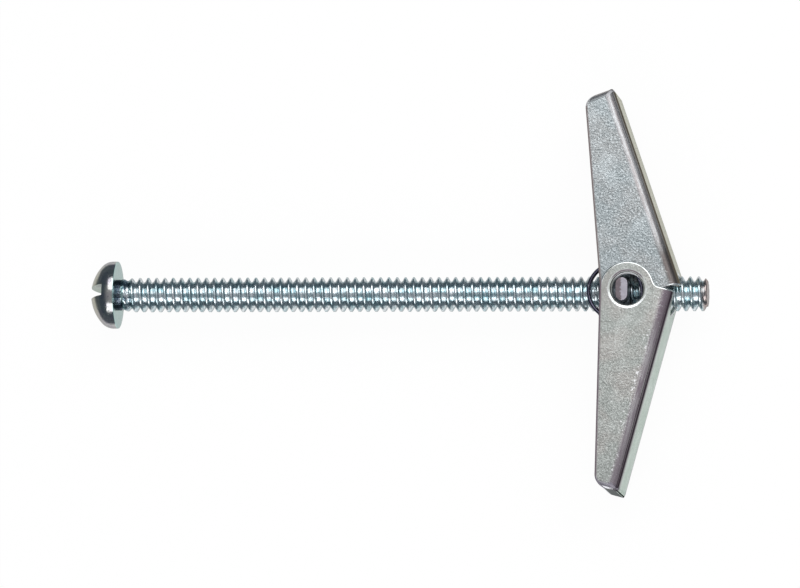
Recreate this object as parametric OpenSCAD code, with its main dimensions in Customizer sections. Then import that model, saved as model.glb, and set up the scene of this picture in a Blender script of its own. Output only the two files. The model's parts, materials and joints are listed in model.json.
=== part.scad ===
// Spring toggle bolt, in millimetres: a slotted round-head machine screw, the
// trunnion nut that rides on it, two channel wings pressed from sheet that
// hinge on the nut's tangs, and the torsion spring that holds the wings open.
// The origin is the centre of the head's bearing face. +X runs along the bolt
// to its tail, +Y points to the upper wing and +Z is the hinge axis. The bolt
// lies on the flat sides of its wings.

/* [Bolt] */
// Length of the bolt under its head
bolt_length = 75; // [70:0.5:150]
// Outer diameter of the thread
thread_d = 4.36; // [3.2:0.01:4.6]
// Diameter of the plain neck under the head
neck_d = 3.9; // [2:0.05:4.2]
// Length of the plain neck under the head
neck_length = 2.1; // [0.5:0.1:10]
// Chamfer at the tail of the bolt
tail_chamfer = 0.4; // [0.1:0.05:0.8]

/* [Head] */
// Diameter of the round head
head_d = 8.5; // [7:0.1:12]
// Height of the head over its bearing face
head_h = 3.43; // [2.8:0.05:5]
// Height of the head's widest circle over its bearing face
head_rim_h = 0.6; // [0.3:0.05:0.8]
// Radius that rounds the head's side into its crown
head_side_r = 1.9; // [1.2:0.05:2]
// Width of the screwdriver slot
slot_w = 1.4; // [0.8:0.05:2]
// Depth of the screwdriver slot from the top of the head
slot_depth = 1.9; // [1:0.05:2.5]
// Turn of the slot about the bolt, from the hinge axis
slot_turn = 3.5; // [0:0.5:180]

/* [Trunnion nut] */
// Distance from the bearing face to the hinge axis
pivot_x = 65.4; // [35:0.1:73]
// Thickness of the nut's strip
strip_t = 1.5; // [0.8:0.05:1.6]
// How far the strip's tail face lies past the hinge axis
strip_past_pivot = 0; // [0:0.05:0.4]
// Diameter of the strip's round middle
strip_mid_d = 6.4; // [5.8:0.1:6.6]
// Width of the tangs that carry the wings
tang_w = 2.9; // [2:0.05:3]
// How far each tang stays behind the outer face of the wings
tang_inset = 0.2; // [0:0.05:0.6]
// Outer diameter of the threaded collar
collar_d = 5.9; // [5.2:0.1:6.2]
// Length of the collar in front of the strip
collar_length = 2.1; // [1:0.1:3]
// Clearance between the thread and the nut's bore
thread_gap = 0.05; // [0.02:0.01:0.1]

/* [Wings] */
// Thickness of the wing sheet
sheet_t = 0.8; // [0.6:0.05:1]
// Width over both wings along the hinge axis
wings_w = 10.8; // [10.6:0.1:14]
// Running gap between the nested ears
ear_gap = 0.08; // [0.04:0.01:0.2]
// Distance from the hinge axis to the tip, along the web
wing_length = 24.8; // [20:0.1:32]
// Distance from the hinge axis to the outer face of the upper wing's web
upper_web_reach = 6.35; // [5.8:0.05:7.5]
// Distance from the hinge axis to the outer face of the lower wing's web
lower_web_reach = 5.5; // [5.3:0.05:7.5]
// Taper of the wing, between its web and its free edges
web_taper = 14; // [10:0.25:16]
// Distance from the hinge axis to the free edges
edge_reach = 3.5; // [3.45:0.05:4.5]
// Radius of the ears
ear_r = 3.45; // [3:0.05:3.6]
// Diameter of the holes in the ears
ear_hole_d = 4; // [3.8:0.05:4.4]
// Width of the coined rim round each ear hole
hole_rim = 0.25; // [0.1:0.05:0.4]
// How far the web and the flanges run past the hinge axis
web_end = 1.3; // [1:0.05:1.35]
// Fillet between an ear and the end of its flange
ear_fillet = 0.9; // [0.4:0.05:1.2]
// Outer radius of the bends
bend_r = 1.2; // [1.05:0.05:1.3]
// Radius of the tip's corners, seen square on to the web
tip_r = 0.9; // [0.8:0.05:3.5]
// Radius of the edge between the tip and the web
tip_edge_r = 0.4; // [0.2:0.05:0.6]
// Radius of the flanges' corners at the tip
flange_corner_r = 1.8; // [1:0.1:2.4]
// Clearance round the bolt in the notch of each web
notch_gap = 0.4; // [0.2:0.05:0.8]
// Lean of the upper wing's free edges towards the head
upper_lean = 5.3; // [3.5:0.1:8]
// Lean of the lower wing's free edges towards the head
lower_lean = 0.8; // [0.5:0.1:8]

/* [Spring] */
// Diameter of the spring wire
wire_d = 0.48; // [0.3:0.02:0.5]
// Outer radius of the coils
coil_r = 3.63; // [3.5:0.01:3.8]
// Distance of the coils' centre from the hinge axis, towards the head
coil_offset = 1.75; // [1.5:0.05:1.9]
// Whole turns of each coil
coil_turns = 2; // [1:1:2]
// Gap between neighbouring turns
turn_gap = 0.01; // [0.01:0.01:0.03]
// Clearance of the coils from the bolt
coil_gap = 0.05; // [0.03:0.01:0.08]
// Clearance of the legs from the webs they press on
leg_gap = 0.15; // [0.1:0.01:0.3]
// Distance from the hinge axis to the ends of the legs, along the web
leg_reach = 9.5; // [6:0.5:16]
// Radius of the corners of the loop that joins the two coils
loop_corner_r = 1; // [0.6:0.1:1.4]

/* [Hidden] */

$fn = 96;
far = 40; // longer than any wing
zinc = [0.72, 0.77, 0.80];
upper_zinc = [0.66, 0.69, 0.68];
lower_zinc = [0.67, 0.68, 0.65];
wire_dark = [0.17, 0.17, 0.20];

head_r = head_d / 2;
dome_h = head_h - head_rim_h;
side_centre = head_r - head_side_r;
crown_r = (side_centre ^ 2 + dome_h ^ 2 - head_side_r ^ 2) / (2 * (dome_h - head_side_r));
crown_centre_h = head_h - crown_r;
crown_half_angle = atan2(side_centre, head_rim_h - crown_centre_h);

bore_r = thread_d / 2 + thread_gap;
tang_reach = wings_w / 2 - tang_inset;
strip_centre_x = strip_past_pivot - strip_t / 2;

nest = sheet_t + ear_gap; // how far the wings are staggered along the hinge axis
wing_w = wings_w - nest;
web_dir = [-sin(web_taper), cos(web_taper)];
ear_x = ear_r - edge_reach; // keeps the ear tangent to the free edge
notch_r = thread_d / 2 + notch_gap;

wire_r = wire_d / 2;
turn_pitch = wire_d + turn_gap;
coil_mean_r = coil_r - wire_r;
coil_centre = [-coil_offset, 0];
inner_z = thread_d / 2 + coil_gap + wire_r;
leg_inset = sheet_t + leg_gap + wire_r; // from a web's outer face to the middle of the leg on it
segments_per_turn = 24;
wire_sides = 8;

// ---- the bolt, drawn along +Z and then laid along +X ----

// Half of the head's outline: bearing face on y = 0, crown upwards
module head_outline() {
    square([side_centre, head_rim_h + head_side_r * cos(crown_half_angle)]);
    square([head_r, head_rim_h]);
    intersection() {
        translate([side_centre, head_rim_h]) circle(head_side_r);
        square([head_r, head_h]);
    }
    intersection() {
        translate([0, crown_centre_h]) circle(crown_r);
        translate([0, crown_centre_h])
            polygon([[0, 0], [far * tan(crown_half_angle), far], [0, far]]);
    }
}

module bolt() {
    color(zinc) difference() {
        union() {
            rotate([0, -90, 0]) rotate_extrude() head_outline();
            rotate([0, 90, 0]) {
                cylinder(d = neck_d, h = neck_length + tail_chamfer);
                translate([0, 0, neck_length])
                    cylinder(d1 = thread_d - 2 * tail_chamfer, d2 = thread_d, h = tail_chamfer);
                translate([0, 0, neck_length + tail_chamfer])
                    cylinder(d = thread_d, h = bolt_length - neck_length - 2 * tail_chamfer);
                translate([0, 0, bolt_length - tail_chamfer])
                    cylinder(d1 = thread_d, d2 = thread_d - 2 * tail_chamfer, h = tail_chamfer);
            }
        }
        rotate([-slot_turn, 0, 0])
            translate([-head_h - slot_depth, -slot_w / 2, -head_d])
                cube([2 * slot_depth, slot_w, 2 * head_d]);
    }
}

// ---- the trunnion nut ----

// A bar's section with round ends, w wide along Y
module oval(t, w) {
    square([t, w - t], center = true);
    for (side = [-1, 1])
        translate([0, side * (w - t) / 2]) circle(d = t);
}

module trunnion_nut() {
    color(zinc) translate([pivot_x, 0, 0]) difference() {
        union() {
            translate([strip_past_pivot - strip_t, 0, 0]) rotate([0, 90, 0])
                cylinder(d = strip_mid_d, h = strip_t);
            translate([strip_past_pivot - strip_t - collar_length, 0, 0]) rotate([0, 90, 0])
                cylinder(d = collar_d, h = collar_length + strip_t / 2);
            translate([strip_centre_x, 0, -tang_reach])
                linear_extrude(2 * tang_reach) oval(strip_t, tang_w);
        }
        translate([-far / 2, 0, 0]) rotate([0, 90, 0]) cylinder(r = bore_r, h = far);
    }
}

// ---- the wings: hinge axis on the origin, tip towards +Y, web on the +X side ----

// The section of a pressed form's rim: side wall at x = w, top at y = h
module rim_section(w, h, r) {
    translate([0, -far]) square([w - r, far + h]);
    translate([0, -far]) square([w, far + h - r]);
    translate([w - r, h - r]) intersection() {
        circle(r);
        square(r);
    }
}

// What a pressed lid would fill: top up, tip towards +X. Its rim runs up one
// side, round the tip's two corners and down the other side.
module lid_form(reach, w, height, plan_r, edge_r) {
    corner_x = reach - plan_r;
    corner_y = w / 2 - plan_r;
    translate([-far, -corner_y, -far]) cube([far + corner_x, 2 * corner_y, far + height]);
    translate([corner_x, corner_y, 0]) rotate([90, 0, 0])
        linear_extrude(2 * corner_y) rim_section(plan_r, height, edge_r);
    for (side = [0, 1]) mirror([0, side, 0]) {
        translate([-far, corner_y, 0]) rotate([90, 0, 90])
            linear_extrude(far + corner_x) rim_section(plan_r, height, edge_r);
        translate([corner_x, corner_y, 0])
            rotate_extrude(angle = 90) rim_section(plan_r, height, edge_r);
    }
}

// The solid a pressed wing would be if it were full: a lid with a small edge,
// cut along its sides by the larger radius of the channel's bends
module pressed_form(reach, w, height, plan_r, side_r) {
    intersection() {
        lid_form(reach, w, height, plan_r, min(tip_edge_r, plan_r / 2));
        translate([-far, 0, 0]) rotate([90, 0, 90]) linear_extrude(2 * far)
            for (side = [0, 1]) mirror([side, 0]) rim_section(w / 2, height, side_r);
    }
}

// The fillet that fills the corner between the ear and the flange's end
module ear_fillet_outline() {
    centre_d = -web_end - ear_fillet;
    ear = [ear_x * cos(web_taper), -ear_x * sin(web_taper)];
    centre_n = ear[0] + sqrt((ear_r + ear_fillet) ^ 2 - (centre_d - ear[1]) ^ 2);
    rotate(web_taper) difference() {
        polygon([ear, [centre_n, centre_d], [centre_n, -web_end]]);
        translate([centre_n, centre_d]) circle(ear_fillet);
    }
}

// What is cut from the flange's square corner at the tip to round it
module tip_corner_outline() {
    centre_x = flange_corner_r - edge_reach;
    centre = [
        centre_x,
        (wing_length - flange_corner_r - web_dir[0] * centre_x) / web_dir[1]
    ];
    difference() {
        polygon([
            centre,
            centre + far * web_dir,
            [-far, far],
            [-far, centre[1]]
        ]);
        translate(centre) circle(flange_corner_r);
    }
}

// A flange seen along the hinge axis, with its ear
module flange_outline() {
    difference() {
        union() {
            translate([-edge_reach, 0]) square([far, far]);
            intersection() {
                rotate(web_taper) translate([-far, -web_end]) square([2 * far, far]);
                translate([0, -far / 2]) square([far, far]);
            }
            translate([ear_x, 0]) circle(ear_r);
            ear_fillet_outline();
        }
        tip_corner_outline();
    }
}

// The round notch that lets the bolt through the web's end, drawn along the web
module notch(web_reach, lean) {
    bolt_d = -(web_reach - sheet_t) * tan(web_taper + lean);
    rotate([90, 0, 90]) linear_extrude(far) {
        translate([bolt_d - far, -notch_r]) square([far, 2 * notch_r]);
        translate([bolt_d, 0]) circle(notch_r);
    }
}

module wing(web_reach, lean) {
    difference() {
        intersection() {
            rotate([0, 0, web_taper]) rotate([90, 0, 90]) difference() {
                pressed_form(wing_length, wing_w, web_reach, tip_r, bend_r);
                pressed_form(
                    wing_length - sheet_t, wing_w - 2 * sheet_t, web_reach - sheet_t,
                    max(tip_r - sheet_t, tip_edge_r), bend_r - sheet_t
                );
            }
            translate([0, 0, -far / 2]) linear_extrude(far) flange_outline();
        }
        cylinder(d = ear_hole_d, h = far, center = true);
        for (side = [0, 1]) mirror([0, 0, side]) translate([0, 0, wing_w / 2 - hole_rim])
            cylinder(d1 = ear_hole_d, d2 = ear_hole_d + 4 * hole_rim, h = 2 * hole_rim);
        rotate([0, 0, web_taper]) translate([0, 0, nest / 2]) notch(web_reach, lean);
    }
}

module upper_wing() {
    color(upper_zinc) translate([pivot_x, 0, -nest / 2])
        rotate([0, 0, upper_lean]) wing(upper_web_reach, upper_lean);
}

module lower_wing() {
    color(lower_zinc) translate([pivot_x, 0, nest / 2])
        rotate([0, 0, -lower_lean]) rotate([180, 0, 0]) wing(lower_web_reach, lower_lean);
}

// ---- the double torsion spring, as one wire swept along its own line ----

// Where a leg ends on a web that leans by the angle, as if on the upper wing
function leg_end(lean, web_reach) = let (turn = lean + web_taper)
    (web_reach - leg_inset) * [cos(turn), sin(turn)] + leg_reach * [-sin(turn), cos(turn)];

// The angle on the coil at which the straight leg to a point leaves it
function leaving_angle(point) = let (away = point - coil_centre)
    atan2(away[1], away[0]) - acos(coil_mean_r / norm(away));

loop_end = leg_end(upper_lean, upper_web_reach);
free_end = leg_end(lower_lean, lower_web_reach);
coil_start = leaving_angle(loop_end);
coil_sweep = 360 * coil_turns + coil_start + leaving_angle(free_end);
coil_steps = round(coil_sweep / 360 * segments_per_turn);
loop_leg_dir = [-sin(coil_start), cos(coil_start)];

// One half of the wire's centre line, from the loop to the free end, at z > 0
half_line = concat(
    [for (a = [90:-18:0]) let (
        along = loop_end + loop_corner_r * (sin(a) - 1) * loop_leg_dir
    ) [along[0], along[1], inner_z - loop_corner_r * (1 - cos(a))]],
    [for (i = [0:coil_steps]) let (
        swept = coil_sweep * i / coil_steps,
        a = coil_start - swept
    ) [
        coil_centre[0] + coil_mean_r * cos(a),
        coil_centre[1] + coil_mean_r * sin(a),
        inner_z + turn_pitch * swept / 360
    ]],
    [[free_end[0], -free_end[1], inner_z + turn_pitch * coil_sweep / 360]]
);
half_count = len(half_line);
wire_line = concat(
    [for (i = [half_count - 1:-1:0]) let (p = half_line[i]) [p[0], p[1], -p[2]]],
    half_line
);

function unit(v) = v / norm(v);
function across(v, dir) = unit(v - (v * dir) * dir);

// A closed tube of radius r along the points, with flat ends
module swept_wire(points, r, sides) {
    last = len(points) - 1;
    dirs = [for (i = [0:last])
        unit(points[min(i + 1, last)] - points[max(i - 1, 0)])];
    normals = [for (
        i = 0, n = across([0, 0, 1], dirs[0]);
        i <= last;
        i = i + 1, n = across(n, dirs[min(i, last)])
    ) n];
    corners = [for (i = [0:last], k = [0:sides - 1]) let (a = 360 * k / sides)
        points[i] + r * (cos(a) * normals[i] + sin(a) * cross(dirs[i], normals[i]))];
    walls = [for (i = [0:last - 1], k = [0:sides - 1]) let (
        next = (k + 1) % sides
    ) [
        i * sides + k, (i + 1) * sides + k,
        (i + 1) * sides + next, i * sides + next
    ]];
    polyhedron(
        corners,
        concat(
            [[for (k = [0:sides - 1]) k]],
            walls,
            [[for (k = [sides - 1:-1:0]) last * sides + k]]
        )
    );
}

module spring() {
    color(wire_dark) translate([pivot_x, 0, 0])
        swept_wire(wire_line, wire_r, wire_sides);
}

bolt();
trunnion_nut();
upper_wing();
lower_wing();
spring();
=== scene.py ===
import json
import math
from functools import reduce
import bmesh
import bpy
import numpy as np
from mathutils import Matrix, Vector


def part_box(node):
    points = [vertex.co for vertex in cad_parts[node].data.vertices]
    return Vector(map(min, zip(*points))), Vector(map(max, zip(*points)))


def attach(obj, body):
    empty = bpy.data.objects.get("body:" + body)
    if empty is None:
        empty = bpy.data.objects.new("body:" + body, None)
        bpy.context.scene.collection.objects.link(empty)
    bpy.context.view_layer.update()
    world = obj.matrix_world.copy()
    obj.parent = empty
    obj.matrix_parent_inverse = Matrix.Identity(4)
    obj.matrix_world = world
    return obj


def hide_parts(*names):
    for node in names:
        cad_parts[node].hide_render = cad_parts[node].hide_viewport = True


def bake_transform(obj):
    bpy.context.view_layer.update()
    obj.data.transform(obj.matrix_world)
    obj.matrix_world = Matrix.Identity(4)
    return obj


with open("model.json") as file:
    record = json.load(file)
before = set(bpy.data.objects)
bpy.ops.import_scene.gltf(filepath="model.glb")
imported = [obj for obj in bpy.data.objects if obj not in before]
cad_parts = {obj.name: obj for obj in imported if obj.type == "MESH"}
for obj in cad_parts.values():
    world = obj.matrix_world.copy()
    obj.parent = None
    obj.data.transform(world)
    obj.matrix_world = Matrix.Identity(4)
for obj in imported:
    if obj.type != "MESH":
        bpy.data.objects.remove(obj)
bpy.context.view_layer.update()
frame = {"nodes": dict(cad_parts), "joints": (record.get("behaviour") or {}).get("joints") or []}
mm = 0.001
weldGap = 1e-7  # points nearer than this are one
print("frame loaded:", sorted(frame["nodes"]))

# where the CAD model puts things
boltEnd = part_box("bolt")[1].x
pivotX = next(j["pos_m"][0] for j in frame["joints"] if j["name"] == "upper_wing_fold")
upperLean = math.radians(5.3)  # of each wing's free edges, towards the head
lowerLean = math.radians(0.8)
webTaper = math.radians(14)


# small helpers for node trees and meshes
def addNode(tree, kind, inputs=None, **settings):
    node = tree.nodes.new(kind)
    for key, value in settings.items():
        setattr(node, key, value)
    for key, value in (inputs or {}).items():
        feed(tree, node.inputs[key], value)
    return node


def feed(tree, socket, value):
    if isinstance(value, bpy.types.NodeSocket):
        tree.links.new(value, socket)
    else:
        socket.default_value = value


def calc(tree, operation, *values, clamp=False):
    node = addNode(tree, "ShaderNodeMath", operation=operation, use_clamp=clamp)
    for socket, value in zip(node.inputs, values):
        feed(tree, socket, value)
    return node.outputs[0]


def product(tree, *values):
    return reduce(lambda first, second: calc(tree, "MULTIPLY", first, second), values)


def strongest(tree, *masks):
    return reduce(lambda first, second: calc(tree, "MAXIMUM", first, second), masks)


def coordinate(tree, vector, index):
    return addNode(tree, "ShaderNodeSeparateXYZ", {0: vector}).outputs[index]


def vectorMath(tree, operation, first, second=None, output=0):
    inputs = {0: first} if second is None else {0: first, 1: second}
    return addNode(tree, "ShaderNodeVectorMath", inputs, operation=operation).outputs[output]


def rescale(tree, value, fromMin, fromMax, toMin=0.0, toMax=1.0, smooth=False):
    # never goes past toMin or toMax
    node = addNode(tree, "ShaderNodeMapRange", clamp=True)
    node.interpolation_type = "SMOOTHSTEP" if smooth else "LINEAR"
    for socket, v in zip(node.inputs, (value, fromMin, fromMax, toMin, toMax)):
        feed(tree, socket, v)
    return node.outputs[0]


def geometryTree(name, inputs):
    tree = bpy.data.node_groups.new(name, "GeometryNodeTree")
    tree.interface.new_socket("Geometry", in_out="OUTPUT", socket_type="NodeSocketGeometry")
    for socketName, socketType in inputs:
        tree.interface.new_socket(socketName, in_out="INPUT", socket_type=socketType)
    return tree, addNode(tree, "NodeGroupInput"), addNode(tree, "NodeGroupOutput")


def closeTree(tree, geometry, material, output):
    smooth = addNode(tree, "GeometryNodeSetShadeSmooth", {"Geometry": geometry})
    painted = addNode(tree, "GeometryNodeSetMaterial", {"Geometry": smooth.outputs[0], "Material": material})
    real = addNode(tree, "GeometryNodeRealizeInstances", {"Geometry": painted.outputs[0]})
    tree.links.new(real.outputs[0], output.inputs[0])


def looseObject(name, data):
    obj = bpy.data.objects.new(name, data)
    bpy.context.scene.collection.objects.link(obj)
    return obj


def grow(name, mesh, tree, values):
    # runs a geometry tree on a mesh and keeps the result as a plain mesh object
    seed = looseObject(name + "Seed", mesh)
    modifier = seed.modifiers.new(name, "NODES")
    modifier.node_group = tree
    sockets = {s.name: s.identifier for s in tree.interface.items_tree if s.in_out == "INPUT"}
    for key, value in values.items():
        modifier[sockets[key]] = value
    return bake(name, seed)


def bake(name, source):
    bpy.context.view_layer.update()
    evaluated = source.evaluated_get(bpy.context.evaluated_depsgraph_get())
    mesh = bpy.data.meshes.new_from_object(evaluated)
    mesh.name = name
    bpy.data.objects.remove(source)
    return looseObject(name, mesh)


def toMesh(name, shape):
    mesh = bpy.data.meshes.new(name)
    shape.to_mesh(mesh)
    shape.free()
    return mesh


def roundEdges(name, source, materials, width, segments, angle):
    # a small bevel on edges sharper than angle (in degrees), in the second material where there is one
    for polygon in source.data.polygons:
        polygon.use_smooth = True
    bevel = source.modifiers.new("bevel", "BEVEL")
    bevel.width = width
    bevel.segments = segments
    bevel.limit_method = "ANGLE"
    bevel.angle_limit = math.radians(angle)
    bevel.use_clamp_overlap = False
    normals = source.modifiers.new("normals", "WEIGHTED_NORMAL")
    normals.mode = "FACE_AREA_WITH_ANGLE"
    normals.weight = 90
    source.data.materials.clear()
    for material in materials:
        source.data.materials.append(material)
    bevel.material = len(materials) - 1
    return bake(name, source)


def surface(name):
    material = bpy.data.materials.new(name)
    material.use_nodes = True
    tree = material.node_tree
    shader = tree.nodes["Principled BSDF"]
    coords = addNode(tree, "ShaderNodeTexCoord").outputs["Object"]
    return material, tree, shader, coords


def noise(tree, coords, scale, detail, roughness=0.6):
    node = addNode(tree, "ShaderNodeTexNoise", {
        "Vector": coords, "Scale": scale, "Detail": detail, "Roughness": roughness})
    return node.outputs["Fac"]


def blendColours(tree, factor, first, second):
    node = addNode(tree, "ShaderNodeMix", data_type="RGBA", clamp_factor=True)
    feed(tree, node.inputs[0], factor)
    feed(tree, node.inputs[6], first)
    feed(tree, node.inputs[7], second)
    return node.outputs[2]


def bump(tree, height, distance, strength=1.0, normal=None):
    values = {"Height": height, "Distance": distance, "Strength": strength}
    if normal is not None:
        values["Normal"] = normal
    return addNode(tree, "ShaderNodeBump", values).outputs[0]


head = {
    "diameter": 8.5 * mm,
    "height": 3.43 * mm,
    "rimHeight": 0.6 * mm,
    "sideRadius": 1.9 * mm,
    "edge": 0.08 * mm,
    "arcSteps": (18, 16, 5),  # on the crown, the side and the edge
    "bearingRing": 0.75,  # share of the radius at which the bearing face is split
    "bevel": {"width": 0.07 * mm, "segments": 3, "angle": 38},
    "slotWidth": 1.4 * mm,
    "slotDepth": 1.9 * mm,
    "slotTurn": math.radians(3.5),
    "segments": 128,
}


noiseMiddle = (0.35, 0.65)  # most of a noise's values lie in here
noiseUpper = (0.35, 0.7)
noiseWide = (0.3, 0.7)
screwLook = {
    "colour": (0.90, 0.95, 0.97, 1),
    "tint": (0.57, 0.73, 0.77, 1),  # the blue passivation, in patches
    "grime": (0.12, 0.19, 0.24, 1),
    # painted shade where the neck meets the head
    "rootGrime": (0.045, 0.06, 0.09, 1),
    "tailTint": (0.50, 0.42, 0.40, 1),  # the bare cut at the tail
    "tailFrom": 74.3 * mm,
    "tailTo": 74.7 * mm,
    "tinted": (0.42, 0.62),  # noise ranges that bring in the tint, the grime and the neck's dark blotches
    "grimy": (0.56, 0.72),
    "stained": (0.42, 0.52, 0.95, 0.1),
    "grimeCover": 0.55,
    "rootTo": 0.75 * mm,  # up to where painted shade darkens the neck next to the head
    "rootShare": 0.7,  # of that, in which it is darkest
    "rootRagged": 0.15 * mm,
    "rootCover": 0.92,
    "neckTo": 2.4 * mm,  # up to where it has dark blotches and is uneven
    "neckShare": 0.6,
    "roughness": 0.16,
    "roughnessSpread": 0.14,
    "ripple": 0.8,
    "dents": 0.15 * mm,  # depth of the uneven places on the neck
    "patchDepth": 0.05 * mm,
    "fineDepth": 0.012 * mm,
    "patchScale": 900,
    "fineScale": 3600,
    "dentScale": 1300,
    "edgeTint": 0.5,  # how much of the gloss is left at a grazing angle
}
headLook = {
    **screwLook,
    "colour": (0.53, 0.53, 0.51, 1),
    "tint": (0.43, 0.40, 0.46, 1),
    "grime": (0.07, 0.10, 0.11, 1),
    "underside": (0.53, 0.72, 0.69, 1),
    "undersideFrom": (-0.15 * mm, -0.02 * mm),
    "slot": (0.42, 0.61, 0.54, 1),
    "slotBlend": 0.04 * mm,
    "slotSides": (0.52, 0.48),  # in slot widths from its middle
    "crown": (0.57, 0.56, 0.45, 1),
    "crownFrom": (0.45, 0.7),  # shares of the head's height over which the crown's colour comes in
    "crownCover": 0.75,
    "edgeTint": 0.6,
    "roughness": 0.12,
    "patchScale": 650,
    "ripple": 0.35,
}
nutLook = {
    **screwLook,
    "colour": (0.62, 0.66, 0.70, 1),
    "tint": (0.38, 0.43, 0.48, 1),
    "grime": (0.11, 0.13, 0.17, 1),
    "roughness": 0.28,
    "patchScale": 1500,
    "ripple": 0.4,
    "sheared": (0.44, 0.42, 0.47, 1),  # the tangs' ends
    "torn": (0.14, 0.105, 0.11, 1),  # the rough share of the tangs' sheared ends
    "tornFrom": 0.85 * mm,  # towards the head from the hinge axis
    "tornRagged": 0.1 * mm,
    "tornBlend": 0.06 * mm,
    "tornCover": 0.8,
    "cutFrom": 0.1 * mm,  # below the nut's ends, where the sheared colour begins and is full
    "cutTo": 0.03 * mm,
}


def zincScrew(name, look):
    material, tree, shader, coords = surface(name)
    patches = noise(tree, coords, look["patchScale"], detail=3)
    fine = noise(tree, coords, look["fineScale"], detail=2)
    base = blendColours(tree, rescale(tree, patches, *look["tinted"]), look["colour"], look["tint"])
    base = blendColours(tree, rescale(tree, fine, *look["grimy"], 0, look["grimeCover"]), base, look["grime"])
    waves = bump(tree, patches, look["patchDepth"], look["ripple"])
    if "torn" in look:
        base = tangColours(tree, look, coords, fine, base)
    if "underside" in look:
        base = headColours(tree, look, coords, base)
    else:
        along = coordinate(tree, coords, 0)
        neck = rescale(tree, along, look["neckShare"] * look["neckTo"], look["neckTo"], 1, 0, smooth=True)
        blotches = noise(tree, coords, look["dentScale"], detail=2)
        darkBlotches = product(tree, neck, rescale(tree, blotches, *look["stained"]))
        # painted shade at the neck's root, with a ragged edge
        ragged = calc(tree, "ADD", along, raggedness(tree, fine, look["rootRagged"]))
        root = rescale(tree, ragged, look["rootShare"] * look["rootTo"], look["rootTo"], look["rootCover"], 0)
        base = blendColours(tree, root, blendColours(tree, darkBlotches, base, look["grime"]), look["rootGrime"])
        tail = rescale(tree, along, look["tailFrom"], look["tailTo"], smooth=True)
        base = blendColours(tree, tail, base, look["tailTint"])
        waves = bump(tree, blotches, look["dents"], neck, waves)
    feed(tree, shader.inputs["Base Color"], base)
    feed(tree, shader.inputs["Roughness"],
         rescale(tree, fine, *noiseUpper, look["roughness"], look["roughness"] + look["roughnessSpread"]))
    shader.inputs["Metallic"].default_value = 1.0
    shader.inputs["Specular Tint"].default_value = (look["edgeTint"],) * 3 + (1,)
    feed(tree, shader.inputs["Normal"], bump(tree, fine, look["fineDepth"], look["ripple"], waves))
    return material


def raggedness(tree, fine, reach):
    return rescale(tree, fine, *noiseMiddle, -reach, reach)


def tangColours(tree, look, coords, fine, base):
    # the nut's sheared ends, part cut clean and part torn
    along, height = coordinate(tree, coords, 0), coordinate(tree, coords, 2)
    tear = calc(tree, "ADD", along, raggedness(tree, fine, look["tornRagged"]))
    tornEdge = pivotX - look["tornFrom"]
    blend = look["tornBlend"]
    torn = rescale(tree, tear, tornEdge + blend, tornEdge - blend, 0, look["tornCover"])
    cut = blendColours(tree, torn, look["sheared"], look["torn"])
    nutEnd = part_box("trunnion_nut")[1].z
    atEnd = rescale(tree, calc(tree, "ABSOLUTE", height), nutEnd - look["cutFrom"], nutEnd - look["cutTo"])
    return blendColours(tree, atEnd, base, cut)


def headColours(tree, look, coords, base):
    # the crown, the slot's walls and the bearing face
    along = coordinate(tree, coords, 0)
    turned = addNode(tree, "ShaderNodeVectorRotate", {"Vector": coords, "Angle": head["slotTurn"]},
                     rotation_type="X_AXIS").outputs[0]
    offSlot = calc(tree, "ABSOLUTE", coordinate(tree, turned, 1))
    floorHeight = head["slotDepth"] - head["height"]
    slotSides = (share * head["slotWidth"] for share in look["slotSides"])
    inSlot = product(tree, rescale(tree, offSlot, *slotSides),
                     rescale(tree, along, floorHeight + look["slotBlend"], floorHeight))
    crownRange = [-share * head["height"] for share in look["crownFrom"]]
    crown = rescale(tree, along, *crownRange, 0, look["crownCover"])
    base = blendColours(tree, inSlot, blendColours(tree, crown, base, look["crown"]), look["slot"])
    under = rescale(tree, along, *look["undersideFrom"], smooth=True)
    return blendColours(tree, under, base, look["underside"])


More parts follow.
